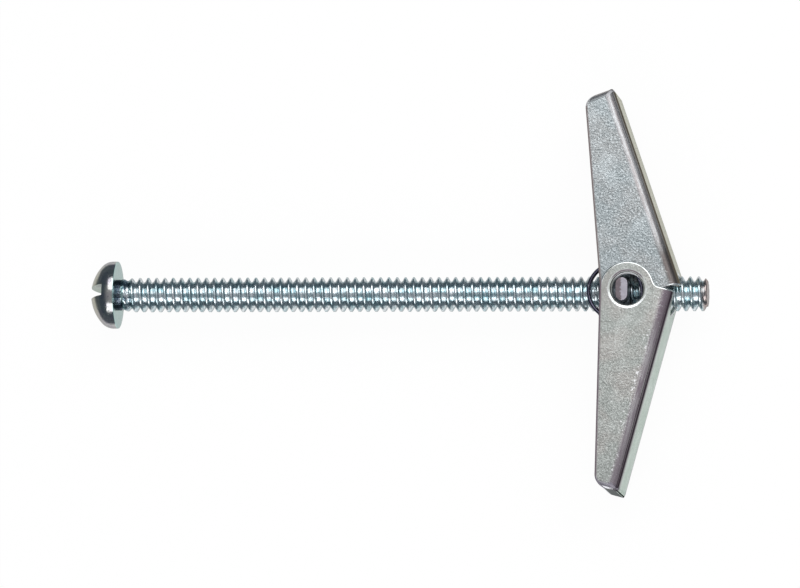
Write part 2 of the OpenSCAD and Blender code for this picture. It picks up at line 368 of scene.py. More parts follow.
upperWingLook = {
    "colour": (0.36, 0.40, 0.41, 1),
    "tone": (0.37, 0.385, 0.385, 1),  # which the colour drifts to in large patches
    "light": (0.80, 0.86, 0.88, 1),
    "dark": (0.19, 0.22, 0.23, 1),
    "bend": (0.50, 0.50, 0.51, 1),
    "bendDark": (0.12, 0.10, 0.095, 1),  # painted shade on the bend, close to the hinge
    "darkTo": 6.5 * mm,
    "tipDark": 0.0,  # how much of that there is towards the tip
    "bendCover": 0.75,
    "bendBlend": 0.25 * mm,
    "bendLine": (0.36, 0.32, 0.32, 1),  # drawing marks along the bend
    "fold": (0.10, 0.085, 0.06, 1),  # painted shade along the line where the bend meets the web
    "foldFrom": 0.3,  # its reach round the bend, in bend radii
    "foldTo": 0.6,
    "webFade": 0.8 * mm,  # over which it fades into the web
    "web": (0.56, 0.57, 0.47, 1),
    "webDark": (0.48, 0.48, 0.39, 1),
    "corner": (0.31, 0.31, 0.32, 1),  # the formed corner at the tip, darkened: painted shade
    "inside": (0.50, 0.52, 0.52, 1),  # the faces within the channel, painted lighter: painted light
    "glint": (0.95, 0.96, 1.0, 1),  # on the ear hole's rim, at the top
    "crease": (0.32, 0.30, 0.30, 1),
    # the tip's end face, darkened: painted shade
    "tip": (0.20, 0.22, 0.21, 1),
    "sheared": (0.14, 0.12, 0.11, 1),  # the cut edges of the sheet
    "rolled": (0.20, 0.17, 0.17, 1),  # the flange where it dips to them, darkened: painted shade
    # the rubbed edges near the tip, darkened: painted shade
    "tipEdge": (0.38, 0.38, 0.40, 1),
    "edge": (0.85, 0.88, 0.88, 1),  # the rubbed corners
    "roughness": 0.36,
    "bendRoughness": 0.4,
    "cornerRoughness": 0.5,
    "edgeRoughness": 0.24,
    "grain": 0.6,
    "grainScale": 4400,
    "specks": 0.62,  # how much of the light and dark grain shows
    "flecks": 0.2,  # bright nicks where the bend starts
    "nicks": 0.0,  # and over the whole flange
    "roughnessSpread": 0.08,
    "edgeSpread": 0.15,
    "bendGrain": 0.3,  # share of the grain's bumps that is left on the bend
    "grainDepth": 0.05 * mm,
    "cloudDepth": 0.08 * mm,
    "cloudBump": 0.25,
    "metal": (0.92, 0.15),  # where it shines and where it is dull
    "edgeMetal": (0.95, 0.1),
    "webDull": 0.5,
    "insideDull": 0.8,
    "edgeTint": 0.85,  # how much of the gloss is left at a grazing angle
    "rubbedTint": 0.5,
}
lowerWingLook = {
    **upperWingLook,
    "colour": (0.42, 0.445, 0.42, 1),
    "tone": (0.455, 0.44, 0.415, 1),
    "light": (0.74, 0.77, 0.74, 1),
    "dark": (0.33, 0.34, 0.32, 1),
    "bend": (0.70, 0.66, 0.68, 1),
    "bendDark": (0.36, 0.29, 0.34, 1),
    "bendCover": 0.85,
    "bendBlend": 0.5 * mm,
    "tipDark": 0.75,
    "foldFrom": 0.08,
    "foldTo": 0.62,
    "webFade": 2.0 * mm,
    "bendLine": (0.42, 0.34, 0.40, 1),
    "fold": (0.03, 0.02, 0.03, 1),
    "web": (0.58, 0.66, 0.61, 1),
    "webDark": (0.50, 0.59, 0.53, 1),
    "corner": (0.24, 0.22, 0.27, 1),
    "rolled": (0.15, 0.12, 0.14, 1),
    "tipEdge": (0.16, 0.14, 0.18, 1),
    "crease": (0.95, 0.95, 1.0, 1),  # painted highlight along the tip's edge
    "tip": (0.12, 0.13, 0.13, 1),
    "bendRoughness": 0.22,
    "grain": 0.4,
    "specks": 0.5,
    "flecks": 1.0,
    "nicks": 0.5,
}
wingShape = {
    "upperWeb": 6.35 * mm,  # from the hinge axis to each web's outer face
    "lowerWeb": 5.5 * mm,
    "tipReach": 24.8 * mm,  # along the web, from the hinge axis
    "tipCorner": 0.9 * mm,
    "tipEdge": 0.4 * mm,
    "edgeReach": 3.5 * mm,  # from the hinge axis to the free edges
    "bendWidth": 1.2 * mm,
    "shearedWidth": 0.1 * mm,
    "rolledWidth": 0.4 * mm,
    "holeRadius": 2.0 * mm,
    "rimRadius": 2.27 * mm,  # of the coined rim round each ear hole
    "rimDepth": 0.11 * mm,
}


wingZones = {  # where a wing's colours begin and where they are full
    "bendAhead": 0.3 * mm,  # how far the bend's colour reaches into the flange
    "web": (0.3, 0.5),  # in bend widths from the bend's start
    "fold": 0.4,
    "front": 1 * mm,  # to each side of the middle, over which the half at +Z takes over from the other
    "webAhead": 0.1 * mm,
    "rearFade": 0.5 * mm,
    "rearFold": 0.4,  # strength of the fold's painted shade on the other half
    "corner": 0.5,  # in widths of the tip's corner
    "crease": (0.7, 0.45),  # in widths of the tip's edge, from the tip
    "tip": (0.15, 0.03),
    "rolled": 0.35,  # share of its width in which the dip at the free edge is full
    "shearedBlend": 0.06 * mm,
    "fleckMiddle": 0.2 * mm,  # ahead of the bend
    "fleckBand": (0.15 * mm, 0.75 * mm),
    "earEdge": (-1.2 * mm, -2.8 * mm, 0, 0.5),  # painted shade: the ear is darker towards the free edge
    "earReach": (4.5 * mm, 1.5 * mm),
    "hingeDark": 0.35,  # share of darkTo up to which the bend is darkest
    "tipDark": (0.55, 0.9),  # shares of the way to the tip
    "insideDepth": (0.6 * mm, 0.75 * mm),
    "insideWeb": (0.1, 0.5, 1, 0),
    "insideTip": (0.7 * mm, 0.6 * mm),
    "edgeTip": 0.3 * mm,  # ahead of the tip's corner, on the rubbed edges
}
wingGrain = {  # noise scales, and the range of each noise that shows
    "marks": 5200, "marksRange": (0.42, 0.58), "marksStretch": (1, 0.06, 1),
    "flecks": 3000, "flecksRange": (0.59, 0.66),
    "clusters": 700, "clustersRange": (0.42, 0.54),
    "nicks": 5600, "nicksRange": (0.74, 0.80),
    "cloud": 380, "cloudRange": (0.48, 0.75), "webRange": (0.4, 0.65),
    "tone": 260, "toneRange": (0.42, 0.6),
    "lightRange": (0.53, 0.64), "darkRange": (0.48, 0.38),
    "wear": 1400, "wearRange": (0.5, 0.7),
}
# the most that each colour covers
wingCover = {"cloud": 0.4, "hinge": 0.95, "corner": 0.85, "rolled": 0.85, "edgeTip": 0.9}
rimZones = {  # on the rim of an ear hole
    "outer": (0.2 * mm, 0.1 * mm),  # past the rim's radius
    "inner": (-0.02 * mm, -0.08 * mm),
    "shade": (-1.3 * mm, 0.3 * mm, 0, 0.9),  # heights between which the rim darkens upwards
    "top": (1.1 * mm, 1.6 * mm),
}


def fromPivot(tree, coords):
    return vectorMath(tree, "ADD", coords, (-pivotX, 0, 0))


def turnedAxes(tree, coords, wing, angle):
    # axes at the hinge that point square to the wing's free edges, or to its web with the taper added
    return addNode(tree, "ShaderNodeVectorRotate", {
        "Vector": fromPivot(tree, coords), "Angle": -wing["side"] * angle}, rotation_type="Z_AXIS").outputs[0]


def squareToWeb(tree, coords, wing):
    return turnedAxes(tree, coords, wing, wing["lean"] + webTaper)


def edgeDistance(tree, coords, wing):
    # from the hinge axis, square to the free edges: negative towards them
    return coordinate(tree, turnedAxes(tree, coords, wing, wing["lean"]), 0)


def rolledMask(tree, coords, wing):
    # where the flange dips at its free edge
    edge, width = -wingShape["edgeReach"], wingShape["rolledWidth"]
    return rescale(tree, edgeDistance(tree, coords, wing), edge + width, edge + wingZones["rolled"] * width,
                   smooth=True)


def tipDistance(tree, coords, wing):
    # along the web, from the hinge axis
    return calc(tree, "MULTIPLY", coordinate(tree, squareToWeb(tree, coords, wing), 1), wing["side"])


def wingMasks(tree, coords, look, wing):
    zones, bend, tipReach = wingZones, wingShape["bendWidth"], wingShape["tipReach"]
    low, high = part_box(wing["node"])
    fromMiddle = calc(tree, "SUBTRACT", coordinate(tree, coords, 2), (low.z + high.z) / 2)
    # how deep under the flange's face
    depth = calc(tree, "SUBTRACT", (high.z - low.z) / 2, calc(tree, "ABSOLUTE", fromMiddle))
    fromHinge = coordinate(tree, squareToWeb(tree, coords, wing), 0)
    fromEdge, toTip = edgeDistance(tree, coords, wing), tipDistance(tree, coords, wing)
    bendStart = wing["web"] - bend

    def inBends(value):
        return bendStart + value * bend

    # the bend, the web behind it and the painted shade along the line between them
    bent = rescale(tree, fromHinge, bendStart - zones["bendAhead"], bendStart + look["bendBlend"],
                   smooth=True)
    nearWeb = rescale(tree, fromHinge, *(inBends(share) for share in zones["web"]))
    front = rescale(tree, fromMiddle, -zones["front"], zones["front"])
    fadeEnd = rescale(tree, front, 0, 1, bend + zones["rearFade"], bend + look["webFade"])
    web = product(tree, nearWeb, rescale(tree, depth, bend - zones["webAhead"], fadeEnd))
    curve = product(tree, rescale(tree, fromHinge, bendStart, inBends(zones["fold"])),
                    rescale(tree, depth, look["foldFrom"] * bend, look["foldTo"] * bend))
    fold = product(tree, calc(tree, "SUBTRACT", curve, web, clamp=True),
                   rescale(tree, front, 0, 1, zones["rearFold"], 1))

    # the tip's formed corner and its end face, both painted in shade, and the crease along its edge, painted
    # as a highlight on the lower wing
    tipCorner, tipEdge = wingShape["tipCorner"], wingShape["tipEdge"]
    cornerStart = tipReach - tipCorner
    corner = rescale(tree, toTip, cornerStart, cornerStart + zones["corner"] * tipCorner, smooth=True)
    crease = rescale(tree, toTip, *(tipReach - share * tipEdge for share in zones["crease"]), smooth=True)
    tip = rescale(tree, toTip, *(tipReach - share * tipEdge for share in zones["tip"]))

    # the cut edges, and the faces within the channel, painted lighter to stand in for light
    shearedEdge = wingShape["shearedWidth"] - wingShape["edgeReach"]
    sheared = rescale(tree, fromEdge, shearedEdge, shearedEdge - zones["shearedBlend"], smooth=True)
    inside = product(tree, rescale(tree, depth, *zones["insideDepth"]),
                     rescale(tree, nearWeb, *zones["insideWeb"]),
                     rescale(tree, toTip, *(tipReach - reach for reach in zones["insideTip"]), 1, 0))

    # where the flecks lie, the ear's painted shade, and the painted shade of the bend near the hinge and the
    # tip
    fromFlecks = calc(tree, "ABSOLUTE", calc(tree, "SUBTRACT", fromHinge, bendStart - zones["fleckMiddle"]))
    return {
        "bend": bent, "web": web, "fold": fold, "corner": corner, "crease": crease, "tip": tip,
        "sheared": sheared, "inside": inside, "rolled": rolledMask(tree, coords, wing),
        "fleckBand": rescale(tree, fromFlecks, *zones["fleckBand"], look["flecks"], 0),
        "ear": product(tree, rescale(tree, fromEdge, *zones["earEdge"]),
                       rescale(tree, calc(tree, "ABSOLUTE", toTip), *zones["earReach"])),
        "bendDark": strongest(tree, rescale(tree, toTip, look["darkTo"], zones["hingeDark"] * look["darkTo"],
                                            0, wingCover["hinge"], smooth=True),
                              rescale(tree, toTip, *(share * tipReach for share in zones["tipDark"]),
                                      0, look["tipDark"], smooth=True)),
    }


def sheetColour(tree, coords, look, wing, masks, grain, cloud):
    def spread(name, detail):
        fac = noise(tree, coords, wingGrain[name], detail, roughness=0.5)
        return rescale(tree, fac, *wingGrain[name + "Range"])

    base = blendColours(tree, spread("tone", 2), look["colour"], look["tone"])
    for colour in ("light", "dark"):
        sparkle = rescale(tree, grain, *wingGrain[colour + "Range"], 0, look["specks"])
        base = blendColours(tree, sparkle, base, look[colour])
    clouded = rescale(tree, cloud, *wingGrain["cloudRange"], 0, wingCover["cloud"])
    base = blendColours(tree, clouded, base, look["light"])
    # painted shade on the ear towards the free edge
    base = blendColours(tree, masks["ear"], base, look["dark"])
    stretched = vectorMath(tree, "MULTIPLY", squareToWeb(tree, coords, wing), wingGrain["marksStretch"])
    markNoise = noise(tree, stretched, wingGrain["marks"], detail=2)
    marks = rescale(tree, markNoise, *wingGrain["marksRange"])
    drawn = blendColours(tree, marks, look["bend"], look["bendLine"])
    # painted shade on the bend near the hinge and towards the tip
    drawn = blendColours(tree, masks["bendDark"], drawn, look["bendDark"])
    cover = product(tree, masks["bend"], calc(tree, "MAXIMUM", masks["bendDark"], look["bendCover"]))
    base = blendColours(tree, cover, base, drawn)
    # painted shade on the tip's formed corner
    base = blendColours(tree, product(tree, masks["corner"], wingCover["corner"]), base, look["corner"])
    # the crease along the tip's edge: a painted highlight on the lower wing
    base = blendColours(tree, masks["crease"], base, look["crease"])
    # painted shade where the flange dips at its free edges
    base = blendColours(tree, product(tree, masks["rolled"], wingCover["rolled"]), base, look["rolled"])
    flecks = product(tree, spread("flecks", 1), spread("clusters", 2), masks["fleckBand"])
    nicks = product(tree, spread("nicks", 0), look["nicks"])
    base = blendColours(tree, strongest(tree, flecks, nicks), base, (1, 1, 1, 1))
    # painted shade along the fold between the bend and the web
    base = blendColours(tree, masks["fold"], base, look["fold"])
    webShade = blendColours(tree, rescale(tree, cloud, *wingGrain["webRange"]), look["webDark"], look["web"])
    base = blendColours(tree, masks["web"], base, webShade)
    # painted shade on the tip's end face, painted light on the faces within the channel, and the cut edges'
    # own dark colour
    for place in ("tip", "inside", "sheared"):
        base = blendColours(tree, masks[place], base, look[place])
    return base


def zincSheet(name, look, wing):
    material, tree, shader, coords = surface(name)
    masks = wingMasks(tree, coords, look, wing)
    grain = noise(tree, coords, look["grainScale"], detail=2)
    cloud = noise(tree, coords, wingGrain["cloud"], detail=4)
    feed(tree, shader.inputs["Base Color"], sheetColour(tree, coords, look, wing, masks, grain, cloud))
    middle, spread = look["roughness"], look["roughnessSpread"]
    flat = rescale(tree, grain, *noiseMiddle, middle - spread, middle + spread)
    bent = calc(tree, "SUBTRACT", masks["bend"], masks["web"], clamp=True)
    gloss = rescale(tree, bent, 0, 1, flat, look["bendRoughness"])
    gloss = rescale(tree, masks["corner"], 0, 1, gloss, look["cornerRoughness"])
    feed(tree, shader.inputs["Roughness"], gloss)
    dull = strongest(tree, masks["fold"], masks["crease"], masks["tip"], masks["sheared"],
                     product(tree, masks["web"], look["webDull"]),
                     product(tree, strongest(tree, masks["rolled"], masks["inside"]), look["insideDull"]))
    feed(tree, shader.inputs["Metallic"], rescale(tree, dull, 0, 1, *look["metal"]))
    shader.inputs["Specular IOR Level"].default_value = 0.0
    shader.inputs["Specular Tint"].default_value = (look["edgeTint"],) * 3 + (1,)
    bumpiness = rescale(tree, bent, 0, 1, look["grain"], look["grain"] * look["bendGrain"])
    pebbled = bump(tree, grain, look["grainDepth"], bumpiness)
    feed(tree, shader.inputs["Normal"], bump(tree, cloud, look["cloudDepth"], look["cloudBump"], pebbled))
    return material


def rubbedEdge(name, look, wing):
    # the eased corners of a pressed part, brighter and smoother than its faces
    material, tree, shader, coords = surface(name)
    wear = noise(tree, coords, wingGrain["wear"], detail=3)
    base = blendColours(tree, rescale(tree, wear, *wingGrain["wearRange"]), look["edge"], look["colour"])

    # the rim of an ear hole: bright below, dark above with a glint on its inner side
    place = fromPivot(tree, coords)
    height = coordinate(tree, place, 1)
    away = vectorMath(tree, "LENGTH", vectorMath(tree, "MULTIPLY", place, (1, 1, 0)), output="Value")
    atTop = rescale(tree, height, *rimZones["top"])
    outer = [wingShape["rimRadius"] + reach for reach in rimZones["outer"]]
    inner = [wingShape["rimRadius"] + reach for reach in rimZones["inner"]]
    rimShade = product(tree, rescale(tree, away, *outer),
                       rescale(tree, height, *rimZones["shade"], smooth=True))
    glint = product(tree, rescale(tree, away, *inner), atTop)
    base = blendColours(tree, rimShade, base, look["colour"])
    base = blendColours(tree, product(tree, rimShade, atTop), base, look["rolled"])
    base = blendColours(tree, glint, base, look["glint"])

    # painted shade: the rubbed edges darken along the free edge and near the tip
    rolled = rolledMask(tree, coords, wing)
    tipStart = wingShape["tipReach"] - wingShape["tipCorner"]
    atTip = rescale(tree, tipDistance(tree, coords, wing), tipStart - wingZones["edgeTip"], tipStart,
                    0, wingCover["edgeTip"], smooth=True)
    base = blendColours(tree, rolled, base, look["rolled"])
    base = blendColours(tree, atTip, base, look["tipEdge"])
    feed(tree, shader.inputs["Base Color"], base)
    feed(tree, shader.inputs["Roughness"],
         rescale(tree, wear, *noiseUpper, look["edgeRoughness"], look["edgeRoughness"] + look["edgeSpread"]))
    dull = strongest(tree, rolled, atTip, rimShade, glint)
    feed(tree, shader.inputs["Metallic"], rescale(tree, dull, 0, 1, *look["edgeMetal"]))
    shader.inputs["Specular IOR Level"].default_value = 0.0
    shader.inputs["Specular Tint"].default_value = (look["rubbedTint"],) * 3 + (1,)
    return material


wireLook = {
    "colour": (0.13, 0.125, 0.18, 1),
    "worn": (0.6, 0.6, 0.64, 1),
    "wornRange": (0.56, 0.72),  # of the noise that brings in the worn colour
    "streakScale": 1500,
    "streakDepth": 0.02 * mm,
    "ripple": 0.3,
    "roughness": 0.13,
    "roughnessSpread": 0.15,
}


def springSteel(name, look):
    material, tree, shader, coords = surface(name)
    streak = noise(tree, coords, look["streakScale"], detail=3)
    worn = rescale(tree, streak, *look["wornRange"])
    feed(tree, shader.inputs["Base Color"], blendColours(tree, worn, look["colour"], look["worn"]))
    feed(tree, shader.inputs["Roughness"],
         rescale(tree, streak, *noiseWide, look["roughness"], look["roughness"] + look["roughnessSpread"]))
    shader.inputs["Metallic"].default_value = 1.0
    feed(tree, shader.inputs["Normal"], bump(tree, streak, look["streakDepth"], look["ripple"]))
    return material


screwZinc = zincScrew("screwZinc", screwLook)
headZinc = zincScrew("headZinc", headLook)
nutZinc = zincScrew("nutZinc", nutLook)
upperPlace = {"node": "upper_wing", "lean": upperLean, "side": 1, "web": wingShape["upperWeb"]}
lowerPlace = {"node": "lower_wing", "lean": lowerLean, "side": -1, "web": wingShape["lowerWeb"]}
upperWingZinc = zincSheet("upperWingZinc", upperWingLook, upperPlace)
lowerWingZinc = zincSheet("lowerWingZinc", lowerWingLook, lowerPlace)
upperWingEdge = rubbedEdge("upperWingEdge", upperWingLook, upperPlace)
lowerWingEdge = rubbedEdge("lowerWingEdge", lowerWingLook, lowerPlace)
springWire = springSteel("springWire", wireLook)
print("materials made")


thread = {
    "Outer Radius": 2.18 * mm,
    "Root Radius": 1.62 * mm,
    "Neck Radius": 1.95 * mm,
    "Pitch": 1.06 * mm,
    "Phase": 0.5,  # turns the thread round, in pitches
    "Start": -0.4 * mm,  # inside the head
    "Thread Start": 0.2 * mm,
    "Run Out": 2.2 * mm,  # over which the thread grows to its full depth
    "End": boltEnd,
    "Tail Chamfer": 0.5 * mm,
    "Tail Radius": 1.6 * mm,
    "Crest": 0.2,  # where it ends, from the middle of a crest (0) to the middle of a root (1)
    "Root": 0.8,  # where it begins
}
turnRows = 12  # rows of faces in a pitch
turnSegments = 64  # faces round a turn
spareTurns = 4  # beyond the screw's own, half of them at each end
rowNudge = 0.0001  # keeps the rows off a whole turn
seamGap = 0.002 * mm  # closes the strip's long seam


def threadTree():
    tree, given, output = geometryTree("threadTree", [
        *[(name, "NodeSocketFloat") for name in thread],
        ("Rows", "NodeSocketInt"), ("Segments", "NodeSocketInt"), ("Rows Per Turn", "NodeSocketInt"),
        ("Material", "NodeSocketMaterial")])
    v = given.outputs

    def between(first, second, share):
        return calc(tree, "ADD", first, calc(tree, "MULTIPLY", share, calc(tree, "SUBTRACT", second, first)))

    # a flat grid, a turn wide, becomes one winding strip
    turns = calc(tree, "DIVIDE", v["Rows"], v["Rows Per Turn"])
    grid = addNode(tree, "GeometryNodeMeshGrid", {
        "Size X": 1.0, "Size Y": turns,
        "Vertices X": calc(tree, "ADD", v["Segments"], 1), "Vertices Y": calc(tree, "ADD", v["Rows"], 1)})
    place = addNode(tree, "GeometryNodeInputPosition").outputs[0]
    around = calc(tree, "ADD", coordinate(tree, place, 0), 0.5)
    row = calc(tree, "ADD", coordinate(tree, place, 1), product(tree, turns, 0.5))
    winding = calc(tree, "SUBTRACT", calc(tree, "ADD", row, around), spareTurns / 2)
    winding = calc(tree, "ADD", winding, v["Phase"])
    along = calc(tree, "ADD", v["Start"], product(tree, winding, v["Pitch"]))
    x = calc(tree, "MINIMUM", calc(tree, "MAXIMUM", along, v["Start"]), v["End"])
    turnShare = calc(tree, "FRACT", calc(tree, "ADD", row, rowNudge))
    fromCrest = product(tree, calc(tree, "ABSOLUTE", calc(tree, "SUBTRACT", turnShare, 0.5)), 2.0)
    height = rescale(tree, fromCrest, v["Root"], v["Crest"])
    threaded = between(v["Root Radius"], v["Outer Radius"], height)
    ramp = rescale(tree, x, v["Thread Start"], calc(tree, "ADD", v["Thread Start"], v["Run Out"]))
    radius = between(v["Neck Radius"], threaded, ramp)
    coneStart = calc(tree, "SUBTRACT", v["End"], v["Tail Chamfer"])
    cone = rescale(tree, x, coneStart, v["End"], v["Outer Radius"], v["Tail Radius"])
    radius = calc(tree, "MINIMUM", radius, cone)

    # the turns past either end shrink onto the axis and close the ends
    half = product(tree, v["Pitch"], 0.5)
    past = calc(tree, "DIVIDE", calc(tree, "SUBTRACT", along, v["End"]), half, clamp=True)
    before = calc(tree, "DIVIDE", calc(tree, "SUBTRACT", v["Start"], along), half, clamp=True)
    radius = product(tree, radius, calc(tree, "SUBTRACT", 1.0, strongest(tree, past, before)))
    angle = product(tree, around, math.tau)
    position = addNode(tree, "ShaderNodeCombineXYZ", {
        0: x,
        1: product(tree, radius, calc(tree, "COSINE", angle)),
        2: product(tree, radius, calc(tree, "SINE", angle))})
    wound = addNode(tree, "GeometryNodeSetPosition", {
        "Geometry": grid.outputs[0], "Position": position.outputs[0]})
    joined = addNode(tree, "GeometryNodeMergeByDistance", {"Geometry": wound.outputs[0], "Distance": seamGap})
    closeTree(tree, joined.outputs[0], v["Material"], output)
    return tree


turnsNeeded = math.ceil((thread["End"] - thread["Start"]) / thread["Pitch"]) + spareTurns
screwThread = grow("screwThread", bpy.data.meshes.new("threadSeed"), threadTree(), {
    **thread, "Rows": turnsNeeded * turnRows, "Segments": turnSegments,
    "Rows Per Turn": turnRows, "Material": screwZinc})


def outwards(piece):
    # closes doubles and points every face out
    shape = bmesh.new()
    shape.from_mesh(piece.data)
    bmesh.ops.remove_doubles(shape, verts=shape.verts, dist=weldGap)
    bmesh.ops.dissolve_degenerate(shape, edges=shape.edges, dist=weldGap)
    bmesh.ops.recalc_face_normals(shape, faces=shape.faces)
    shape.to_mesh(piece.data)
    shape.free()
    return piece


outwards(screwThread)
print("thread made:", len(screwThread.data.polygons), "faces")


def arc(centre, radius, first, last, count):
    return [(centre[0] + radius * math.cos(a), centre[1] + radius * math.sin(a))
            for a in np.linspace(first, last, count)]


def headOutline():
    # (distance from the axis, height over the bearing face) from the crown down to the axis again
    radius = head["diameter"] / 2
    rim, side = head["rimHeight"], head["sideRadius"]
    sideCentre = radius - side
    dome = head["height"] - rim
    crown = (sideCentre ** 2 + dome ** 2 - side ** 2) / (2 * (dome - side))
    crownCentre = head["height"] - crown
    meet = math.atan2(rim - crownCentre, sideCentre)
    crownSteps, sideSteps, edgeSteps = head["arcSteps"]
    edge = head["edge"]
    return [*arc((0, crownCentre), crown, math.pi / 2, meet, crownSteps),
            *arc((sideCentre, rim), side, meet, 0, sideSteps)[1:],
            *arc((radius - edge, edge), edge, 0, -math.pi / 2, edgeSteps),
            (radius * head["bearingRing"], 0),
            (0, 0)]


def lathe(name, outline, segments):
    # revolves (distance, height) about X, with height towards the head's crown
    shape = bmesh.new()
    rings = []
    for distance, height in outline:
        if distance < weldGap:
            rings.append([shape.verts.new((-height, 0, 0))])
            continue
        rings.append([shape.verts.new((-height, distance * math.cos(a), distance * math.sin(a)))
                      for a in np.linspace(0, math.tau, segments, endpoint=False)])
    for upper, lower in zip(rings, rings[1:]):
        for k in range(segments):
            n = (k + 1) % segments
            corners = [ring[i % len(ring)] for ring, i in ((upper, k), (upper, n), (lower, n), (lower, k))]
            shape.faces.new(list(dict.fromkeys(corners)))  # a triangle where a ring is a single point
    bmesh.ops.recalc_face_normals(shape, faces=shape.faces)
    return looseObject(name, toMesh(name, shape))


def block(name, size, centre, turn):
    shape = bmesh.new()
    bmesh.ops.create_cube(shape, size=1.0)
    mesh = toMesh(name, shape)
    mesh.transform(Matrix.Rotation(turn, 4, "X") @ Matrix.Translation(centre) @ Matrix.Diagonal((*size, 1)))
    return looseObject(name, mesh)


headBlank = lathe("headBlank", headOutline(), head["segments"])
slotCutter = block("slotCutter", (2 * head["slotDepth"], head["slotWidth"], 2 * head["diameter"]),
                   (-head["height"], 0, 0), -head["slotTurn"])
slotCut = headBlank.modifiers.new("slot", "BOOLEAN")
slotCut.object = slotCutter
slotCut.operation = "DIFFERENCE"
slotCut.solver = "EXACT"
headCut = bake("headCut", headBlank)
bpy.data.objects.remove(slotCutter)
screwHead = roundEdges("screwHead", headCut, [headZinc], **head["bevel"])
print("head made:", len(screwHead.data.polygons), "faces")


edges = {  # the easing of the pressed parts' edges, on those sharper than angle, in degrees
    "wing": {"width": 0.22 * mm, "segments": 4, "angle": 15},
    "nut": {"width": 0.04 * mm, "segments": 4, "angle": 60},
}
flatAngle = math.radians(0.5)  # faces that meet at less are one
onPlace = 0.03 * mm  # how near a point is to a hole's edge or a face to count as on it
chamferDepth = 0.4 * mm  # deeper points aren't on a hole's chamfer


def coinRims(shape, node):
    # makes the chamfers round the ear holes wider and shallower, as a punch leaves them
    low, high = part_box(node)
    for vert in shape.verts:
        away = Vector((vert.co.x - pivotX, vert.co.y))
        face = high.z if vert.co.z > (low.z + high.z) / 2 else low.z
        depth = abs(vert.co.z - face)
        if abs(away.length - wingShape["holeRadius"]) < onPlace and depth < chamferDepth:
            vert.co.z = face - math.copysign(wingShape["rimDepth"], face)
        elif away.length < wingShape["rimRadius"] and depth < onPlace:
            away *= wingShape["rimRadius"] / away.length
            vert.co.x, vert.co.y = pivotX + away.x, away.y


def easedCopy(node, name, materials, width, segments, angle):
    shape = bmesh.new()
    shape.from_mesh(frame["nodes"][node].data)
    bmesh.ops.remove_doubles(shape, verts=shape.verts, dist=weldGap)
    if "wing" in node:
        coinRims(shape, node)
    bmesh.ops.dissolve_limit(shape, angle_limit=flatAngle, verts=shape.verts, edges=shape.edges)
    blank = looseObject(name + "Blank", toMesh(name + "Blank", shape))
    return roundEdges(name, blank, materials, width, segments, angle)


upperWing = easedCopy("upper_wing", "upperWing", [upperWingZinc, upperWingEdge], **edges["wing"])
lowerWing = easedCopy("lower_wing", "lowerWing", [lowerWingZinc, lowerWingEdge], **edges["wing"])
trunnionNut = easedCopy("trunnion_nut", "trunnionNut", [nutZinc], **edges["nut"])
print("wings and nut made:", [len(o.data.polygons) for o in (upperWing, lowerWing, trunnionNut)])


spring = {
    "wireRadius": 0.24 * mm,
    "coilRadius": 3.63 * mm,  # outer
    "coilOffset": 1.75 * mm,  # from the hinge axis, towards the head
    "turns": 2,
    "turnPitch": 0.49 * mm,
    "firstTurn": 2.47 * mm,  # height of the inner turn's start
    "legReach": 9.5 * mm,
    "legInset": 1.19 * mm,  # from a web's outer face
    "loopCorner": 1.0 * mm,
    "turnSteps": 60,
    "cornerSteps": 9,
    "loopLegSteps": 12,
    "freeLegSteps": 16,
    "wireSides": 16,
}


def mirrored(line):
    return [(p[0], p[1], -p[2]) for p in line]


def springLines():
    # one side's coil, the loop that joins both sides, and one side's free leg
    meanRadius = spring["coilRadius"] - spring["wireRadius"]
    centre = np.array([-spring["coilOffset"], 0.0])

    def legEnd(lean, web):
        turn = lean + webTaper
        return ((web - spring["legInset"]) * np.array([math.cos(turn), math.sin(turn)])
                + spring["legReach"] * np.array([-math.sin(turn), math.cos(turn)]))

    def leavingAngle(point):
        away = point - centre
        return math.atan2(away[1], away[0]) - math.acos(meanRadius / np.linalg.norm(away))

    loopEnd = legEnd(upperLean, wingShape["upperWeb"])
    freeEnd = legEnd(lowerLean, wingShape["lowerWeb"])
    start = leavingAngle(loopEnd)
    sweep = math.tau * spring["turns"] + start + leavingAngle(freeEnd)
    steps = round(sweep / math.tau * spring["turnSteps"])
    legDirection = np.array([-math.sin(start), math.cos(start)])
    corner, firstTurn = spring["loopCorner"], spring["firstTurn"]

    def at(point, height):
        return (pivotX + point[0], point[1], height)

    def onCoil(swept):
        a = start - swept
        return at(centre + meanRadius * np.array([math.cos(a), math.sin(a)]),
                  firstTurn + spring["turnPitch"] * swept / math.tau)

    def straight(first, last, shares):
        first, last = np.array(first), np.array(last)
        return [tuple(first + (last - first) * t) for t in shares]

    coil = [onCoil(sweep * i / steps) for i in range(steps + 1)]
    loopSide = [at(loopEnd + corner * (math.sin(a) - 1) * legDirection,
                   firstTurn - corner * (1 - math.cos(a)))
                for a in np.linspace(0, math.pi / 2, spring["cornerSteps"])]
    leg = straight(coil[0], loopSide[0], np.linspace(0, 1, spring["loopLegSteps"])[:-1])
    half = leg + loopSide
    loop = half + mirrored(half[::-1])
    freeTip = at((freeEnd[0], -freeEnd[1]), coil[-1][2])
    return coil, loop, straight(coil[-1], freeTip, np.linspace(0, 1, spring["freeLegSteps"]))


